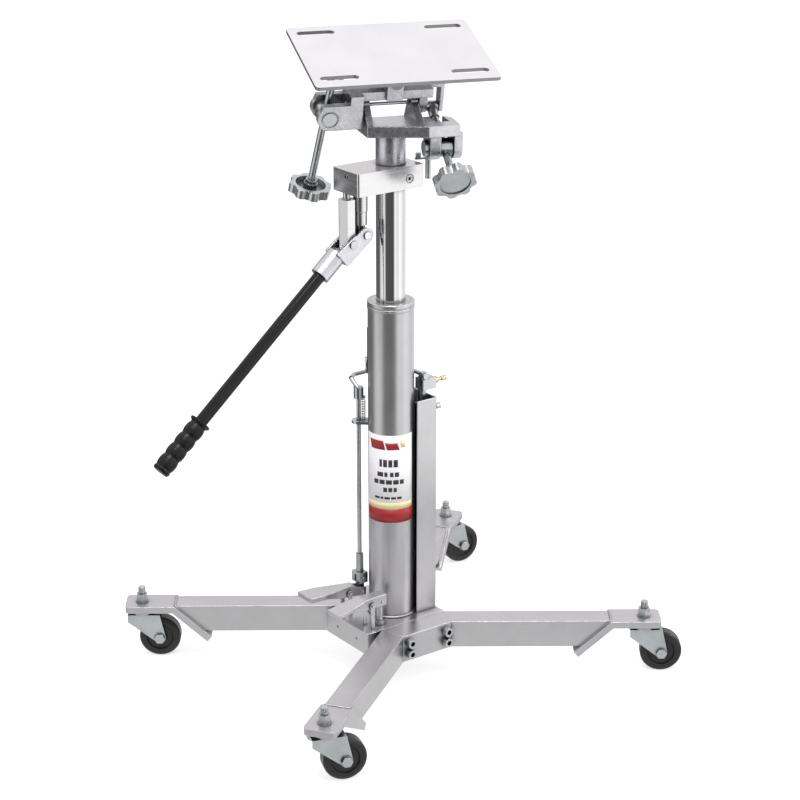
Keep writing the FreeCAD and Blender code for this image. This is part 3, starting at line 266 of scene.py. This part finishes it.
def build_materials():
    made = {}
    made["silver_paint"] = metal("silver_paint", (0.50, 0.49, 0.50), (0.56, 0.555, 0.565),
                                 (0.26, 0.34), 0.90, 1500.0, 0.12, 14.0, edge=(0.84, 0.84, 0.85),
                                 edge_radius=0.0026)
    made["cast_silver"] = casting("cast_silver")
    made["machined_steel"] = metal("machined_steel", (0.66, 0.65, 0.65), (0.72, 0.71, 0.72),
                                   (0.20, 0.28), 1.0, 260.0, 0.06, 10.0, (1.0, 1.0, 16.0),
                                   edge=(0.8, 0.8, 0.8))
    made["zinc"] = metal("zinc", (0.46, 0.48, 0.49), (0.60, 0.62, 0.63), (0.20, 0.30), 1.0, 900.0,
                         0.05, 18.0, edge=(0.84, 0.85, 0.86), crevice_shade=0.12)
    made["chrome"] = metal("chrome", (0.66, 0.66, 0.67), (0.72, 0.72, 0.73), (0.045, 0.08), 1.0,
                           900.0, 0.015, edge_radius=0.0004)
    made["black_gloss"] = metal("black_gloss", (0.003, 0.003, 0.003), (0.006, 0.006, 0.006),
                                (0.07, 0.11), 0.0, 500.0, 0.03, edge=(0.02, 0.02, 0.02),
                                specular=0.30)
    made["grip_rubber"] = metal("grip_rubber", (0.006, 0.006, 0.006), (0.012, 0.012, 0.013),
                                (0.24, 0.36), 0.0, 1200.0, 0.25, edge=(0.02, 0.02, 0.02),
                                specular=0.22)
    made["wheel_black"] = metal("wheel_black", (0.008, 0.008, 0.008), (0.018, 0.017, 0.016),
                                (0.24, 0.38), 0.0, 700.0, 0.15, 60.0, edge=(0.05, 0.05, 0.05),
                                specular=0.4)
    made["black_steel"] = metal("black_steel", (0.03, 0.03, 0.035), (0.07, 0.07, 0.08), (0.35, 0.5),
                                0.7, 800.0, 0.15, edge=(0.2, 0.2, 0.2))
    made["brass"] = metal("brass", (0.56, 0.45, 0.26), (0.68, 0.57, 0.36), (0.20, 0.32), 1.0,
                          600.0, 0.08, 60.0, edge=(0.85, 0.7, 0.42))
    made["plate_steel"] = metal("plate_steel", (0.66, 0.65, 0.67), (0.72, 0.71, 0.73), (0.34, 0.44),
                                0.7, 1500.0, 0.08, 9.0, edge=(0.85, 0.85, 0.86),
                                lit_face=SADDLE_NORMAL)
    made["label_white"] = printed("label_white", (0.80, 0.79, 0.80), (0.86, 0.85, 0.86))
    made["label_red"] = printed("label_red", (0.30, 0.006, 0.010), (0.36, 0.010, 0.014))
    made["label_cream"] = printed("label_cream", (0.72, 0.66, 0.30), (0.80, 0.74, 0.42))
    made["label_black"] = printed("label_black", (0.015, 0.014, 0.015), (0.03, 0.028, 0.03))
    return made


def paint_nodes(materials):
    slots = {row["node"]: row["material_slot"] for row in frame["record"]["subparts"]}
    for name, obj in NODES.items():
        obj.data.materials.clear()
        obj.data.materials.append(materials[slots[name]])


# ---------------------------------------------------------------- pieces in mesh code


def piece(name, mesh, materials, body):
    """Adds a mesh as a piece that rides on a CAD body."""
    for polygon in mesh.polygons:
        polygon.use_smooth = True
    for material in materials:
        mesh.materials.append(material)
    obj = bpy.data.objects.new(name, mesh)
    bpy.context.scene.collection.objects.link(obj)
    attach(obj, body)
    return obj


def finished(name, work):
    """Turns a bmesh into a mesh with outward normals."""
    bmesh.ops.recalc_face_normals(work, faces=work.faces)
    mesh = bpy.data.meshes.new(name)
    work.to_mesh(mesh)
    work.free()
    return mesh


def swept_rings(work, rings, closed):
    """Skins a list of vertex rings into a tube, capped when it is open."""
    count = len(rings[0])
    spans = len(rings) if closed else len(rings) - 1
    for i in range(spans):
        here, there = rings[i], rings[(i + 1) % len(rings)]
        for k in range(count):
            work.faces.new((here[k], here[(k + 1) % count], there[(k + 1) % count], there[k]))
    if not closed:
        work.faces.new(rings[0])
        work.faces.new(rings[-1])


def bead(work, path, radius, closed, pitch=0.0035):
    """Weld bead along a path: a rope whose width swells once per puddle."""
    points = resampled(path, pitch / 3, closed)
    rings = []
    for i, (point, ahead) in enumerate(points):
        swell = radius * (1.0 + 0.16 * math.cos(2 * math.pi * i / 3))
        side = ahead.cross(Vector((0, 0, 1)))
        if side.length < 0.1:
            side = ahead.cross(Vector((1, 0, 0)))
        side.normalize()
        lift = side.cross(ahead)
        ring = []
        for k in range(BEAD_SIDES):
            angle = 2 * math.pi * k / BEAD_SIDES
            ring.append(work.verts.new(point + side * swell * math.cos(angle)
                                       + lift * swell * math.sin(angle)))
        rings.append(ring)
    swept_rings(work, rings, closed)


def resampled(path, step, closed):
    """Points at an even step along straight runs, each with its direction."""
    corners = [Vector(p) for p in path]
    if closed:
        corners.append(corners[0])
    points = []
    for start, end in zip(corners, corners[1:]):
        run = end - start
        parts = max(1, round(run.length / step))
        for i in range(parts):
            points.append((start + run * (i / parts), run.normalized()))
    if not closed:
        points.append((corners[-1], (corners[-1] - corners[-2]).normalized()))
    return points


def circle(centre, radius, count=72):
    x, y, z = centre
    turns = [2 * math.pi * i / count for i in range(count)]
    return [(x + radius * math.cos(t), y + radius * math.sin(t), z) for t in turns]


def curved_patch(work, radius, thick, start, end, low, high, index, skew=0.0):
    """Thin closed shell on a cylinder, from angle start to end and from low to high."""
    steps = max(1, math.ceil((end - start) / 3.0))
    outer = radius + thick
    section = ((radius, low), (outer, low), (outer, high), (radius, high))
    rings = []
    for i in range(steps + 1):
        share = i / steps
        ring = []
        for reach, z in section:
            lean = skew * (z - low) / (high - low)
            angle = math.radians(start + (end - start) * share + lean)
            ring.append(work.verts.new((reach * math.cos(angle), reach * math.sin(angle), z)))
        rings.append(ring)
    before = set(work.faces)
    swept_rings(work, rings, False)
    for face in set(work.faces) - before:
        face.material_index = index


def mast_label(materials):
    """Vinyl label on the mast: generic blocks and bars, with a cream and a red band."""
    radius = MAST_RADIUS
    middle = CAMERA_AZIMUTH
    left, right = middle - 76, middle + 63
    work = bmesh.new()
    curved_patch(work, radius + 0.00005, 0.00022, left, right, 0.290, 0.457, 0)
    ink = radius + 0.00028
    thin = 0.00006
    curved_patch(work, ink, thin, left, right, 0.2905, 0.3165, 1)
    curved_patch(work, ink, thin, left, right, 0.3170, 0.3290, 2)
    heading = ((-56, -14, 0.430, 0.447, 1), (-10, 22, 0.430, 0.443, 1), (26, 38, 0.434, 0.447, 2))
    for start, end, low, high, index in heading:
        curved_patch(work, ink, thin, middle + start, middle + end, low, high, index, -6.0)
    lines = (
        (0.3975, 0.4115, ((-30, -23), (-20, -10), (-7, 3), (6, 17))),
        (0.3790, 0.3875, ((-36, -20), (-17, -9), (-3, 6), (9, 20))),
        (0.3645, 0.3730, ((-46, -33), (-30, -16), (-13, 2), (5, 19), (22, 33))),
        (0.3500, 0.3585, ((-20, -10), (-7, 3), (6, 14))),
        (0.3360, 0.3405, ((-44, -30), (-27, -20), (-17, -3), (0, 12), (15, 27))),
    )
    for low, high, bars in lines:
        for start, end in bars:
            curved_patch(work, ink, thin, middle + start, middle + end, low, high, 3)
    mesh = finished("mast_label", work)
    piece("mast_label", mesh, [materials["label_white"], materials["label_red"],
                               materials["label_cream"], materials["label_black"]],
          "base")


def stud_threads(materials):
    """Rolled thread on the free end of each caster stud."""
    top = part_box("caster_studs")[1][2] - 0.001
    pitch = 0.0015
    turns = 7
    core = 0.0059
    for joint in frame["joints"]:
        if not joint["name"].endswith("_caster_swivel"):
            continue
        x, y, _ = joint["pos_m"]
        work = bmesh.new()
        helix(work, (x, y, top - pitch * turns), core, 0.0007, pitch, turns)
        mesh = finished(joint["name"] + "_thread", work)
        name = joint["name"].replace("_caster_swivel", "_stud_thread")
        piece(name, mesh, [materials["zinc"]], "base")


def helix(work, start, core, depth, pitch, turns):
    """A thread ridge with a triangular section, wound round a vertical core."""
    per_turn = 20
    rings = []
    x, y, z = start
    for i in range(per_turn * turns + 1):
        angle = 2 * math.pi * i / per_turn
        height = z + pitch * i / per_turn
        ring = []
        for reach, rise in ((core, -0.45 * pitch), (core + depth, 0.0), (core, 0.45 * pitch)):
            ring.append(work.verts.new((x + reach * math.cos(angle), y + reach * math.sin(angle),
                                        height + rise)))
        rings.append(ring)
    swept_rings(work, rings, False)


def mast_strap(materials):
    """Thin strip and its clamp on the side of the mast by the control rod."""
    radius = MAST_RADIUS
    for name, start, end, low, high, thick in (
            ("mast_strip", 139.0, 143.5, 0.588, 0.645, 0.0016),
            ("mast_clamp", 137.5, 144.5, 0.560, 0.590, 0.0045)):
        work = bmesh.new()
        curved_patch(work, radius - 0.0002, thick, start, end, low, high, 0)
        bmesh.ops.bevel(work, geom=list(work.edges), offset=0.0004, segments=2, affect="EDGES")
        piece(name, finished(name, work), [materials["zinc"]], "base")


def weld_beads(materials):
    """Fillet welds round the mast's foot and at the caster plates."""
    radius = MAST_RADIUS
    work = bmesh.new()
    bead(work, circle((0, 0, MAST_LOW[2] + 0.0012), radius + 0.0006), 0.0026, True)
    piece("mast_weld", finished("mast_weld", work), [materials["silver_paint"]], "base")
    work = bmesh.new()
    plate_beads(work)
    piece("plate_welds", finished("plate_welds", work), [materials["silver_paint"]], "base")


def plate_beads(work):
    """Beads where each caster plate's bend meets the top and the sides of its leg."""
    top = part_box("front_leg")[1][2]
    for joint in frame["joints"]:
        if not joint["name"].endswith("_caster_swivel"):
            continue
        x, y, _ = joint["pos_m"]
        stem = Vector((x, y, top))
        elbow = Vector((math.copysign(HUB_JOINT_X, x), math.copysign(HUB_JOINT_Y, y), top))
        along = (stem - elbow).normalized()
        across = Vector((-along.y, along.x, 0)) * LEG_HALF_WIDTH
        bend = stem - along * PLATE_BEND
        fall = Vector((0, 0, -LEG_HEIGHT)) - along * (LEG_HEIGHT / math.tan(PLATE_SLOPE))
        bead(work, [bend - across, bend + across], 0.0021, False)
        for side in (-across, across):
            bead(work, [bend + side, bend + side + fall], 0.0015, False)


# ---------------------------------------------------------------- stage


def area_light(name, location, target, size, energy, height=None):
    data = bpy.data.lights.new(name, "AREA")
    data.energy = energy
    data.size = size
    data.shape = "RECTANGLE"
    data.size_y = height or size
    light = bpy.data.objects.new(name, data)
    light.location = location
    direction = Vector(target) - Vector(location)
    light.rotation_euler = direction.to_track_quat("-Z", "Y").to_euler()
    light.visible_camera = False
    bpy.context.scene.collection.objects.link(light)


def wall_shade(nodes, link, direction):
    """Brightness of the walls round the compass, turned so that 0 is the camera's side."""
    turn = nodes.new("ShaderNodeMapping")
    turn.inputs["Rotation"].default_value = (0.0, 0.0, math.radians(-CAMERA_AZIMUTH))
    link(direction, turn.inputs["Vector"])
    radial = nodes.new("ShaderNodeTexGradient")
    radial.gradient_type = "RADIAL"
    link(turn.outputs["Vector"], radial.inputs["Vector"])
    walls = nodes.new("ShaderNodeValToRGB")
    link(radial.outputs["Fac"], walls.inputs["Fac"])
    elements = walls.color_ramp.elements
    while len(elements) < len(WALLS):
        elements.new(0.5)
    for element, (angle, value) in zip(elements, WALLS):
        element.position = 0.5 + angle / 360.0
        element.color = (value, value, value, 1.0)
    return walls.outputs["Color"]


def build_world():
    """Studio surround: pale walls with dark gaps low down, a bright ceiling, white backdrop."""
    world = bpy.data.worlds.new("studio")
    bpy.context.scene.world = world
    world.use_nodes = True
    nodes = world.node_tree.nodes
    link = world.node_tree.links.new
    background = nodes["Background"]
    direction = nodes.new("ShaderNodeTexCoord").outputs["Generated"]
    height = nodes.new("ShaderNodeSeparateXYZ")
    link(direction, height.inputs["Vector"])
    upward = nodes.new("ShaderNodeMapRange")
    upward.inputs["From Min"].default_value = 0.08
    upward.inputs["From Max"].default_value = 0.42
    link(height.outputs["Z"], upward.inputs["Value"])
    surround = nodes.new("ShaderNodeMix")
    surround.data_type = "RGBA"
    link(upward.outputs["Result"], surround.inputs[0])
    link(wall_shade(nodes, link, direction), surround.inputs[6])
    surround.inputs[7].default_value = CEILING
    link(surround.outputs[2], background.inputs["Color"])
    background.inputs["Strength"].default_value = WALL_STRENGTH
    backdrop = nodes.new("ShaderNodeBackground")
    backdrop.inputs["Color"].default_value = (1.0, 1.0, 1.0, 1.0)
    rays = nodes.new("ShaderNodeLightPath")
    choose = nodes.new("ShaderNodeMixShader")
    link(rays.outputs["Is Camera Ray"], choose.inputs[0])
    link(background.outputs["Background"], choose.inputs[1])
    link(backdrop.outputs["Background"], choose.inputs[2])
    link(choose.outputs["Shader"], nodes["World Output"].inputs["Surface"])


def build_floor():
    mesh = bpy.data.meshes.new("floor")
    reach = FLOOR_REACH
    corners = [(-reach, -reach, 0), (reach, -reach, 0), (reach, reach, 0), (-reach, reach, 0)]
    mesh.from_pydata(corners, [], [(0, 1, 2, 3)])
    floor = bpy.data.objects.new("floor", mesh)
    bpy.context.scene.collection.objects.link(floor)
    tree = Tree("floor_paint")
    tree.set(Base_Color=(0.5, 0.5, 0.5, 1.0), Roughness=1.0, Specular_IOR_Level=0.0,
             Emission_Color=(1.0, 1.0, 1.0, 1.0), Emission_Strength=FLOOR_GLOW)
    mesh.materials.append(tree.material)
    floor.visible_glossy = False
    floor.visible_diffuse = False
    floor.visible_shadow = False


def build_bounce():
    """Pale floor close by, as the low parts mirror it; its glow fades outwards."""
    work = bmesh.new()
    bmesh.ops.create_circle(work, cap_ends=True, segments=64, radius=BOUNCE_REACH)
    mesh = finished("floor_bounce", work)
    bounce = bpy.data.objects.new("floor_bounce", mesh)
    bounce.location = (0.0, 0.0, -0.002)
    bpy.context.scene.collection.objects.link(bounce)
    tree = Tree("floor_bounce")
    gradient = tree.nodes.new("ShaderNodeTexGradient")
    gradient.gradient_type = "SPHERICAL"
    tree.link(tree.mapped((1 / BOUNCE_REACH,) * 3), gradient.inputs["Vector"])
    glow = tree.ramp(gradient.outputs["Fac"], [(0.0, 0.10), (0.22, 0.75), (0.5, 0.85)])
    tree.link(glow, tree.shader.inputs["Emission Color"])
    tree.set(Base_Color=(0.0, 0.0, 0.0, 1.0), Roughness=1.0, Specular_IOR_Level=0.0,
             Emission_Strength=1.0)
    mesh.materials.append(tree.material)
    bounce.visible_camera = False
    bounce.visible_shadow = False


def build_stage():
    build_world()
    build_floor()
    build_bounce()
    area_light("key", (2.6, -2.4, 2.6), (0, 0, 0.7), 1.2, 26)
    area_light("top", (-0.7, -0.9, 3.6), (0, 0, 0.5), 1.5, 62)
    bpy.context.scene.view_settings.view_transform = "Standard"


def build_camera():
    data = bpy.data.cameras.new("camera")
    data.sensor_width = 36.0
    data.lens = CAMERA_LENS
    data.clip_end = 100.0
    camera = bpy.data.objects.new("camera", data)
    camera.location = CAMERA_PLACE
    direction = Vector(CAMERA_AIM) - camera.location
    camera.rotation_euler = direction.to_track_quat("-Z", "Y").to_euler()
    bpy.context.scene.collection.objects.link(camera)
    bpy.context.scene.camera = camera


materials = build_materials()
paint_nodes(materials)
mast_label(materials)
stud_threads(materials)
mast_strap(materials)
weld_beads(materials)
build_stage()
build_camera()
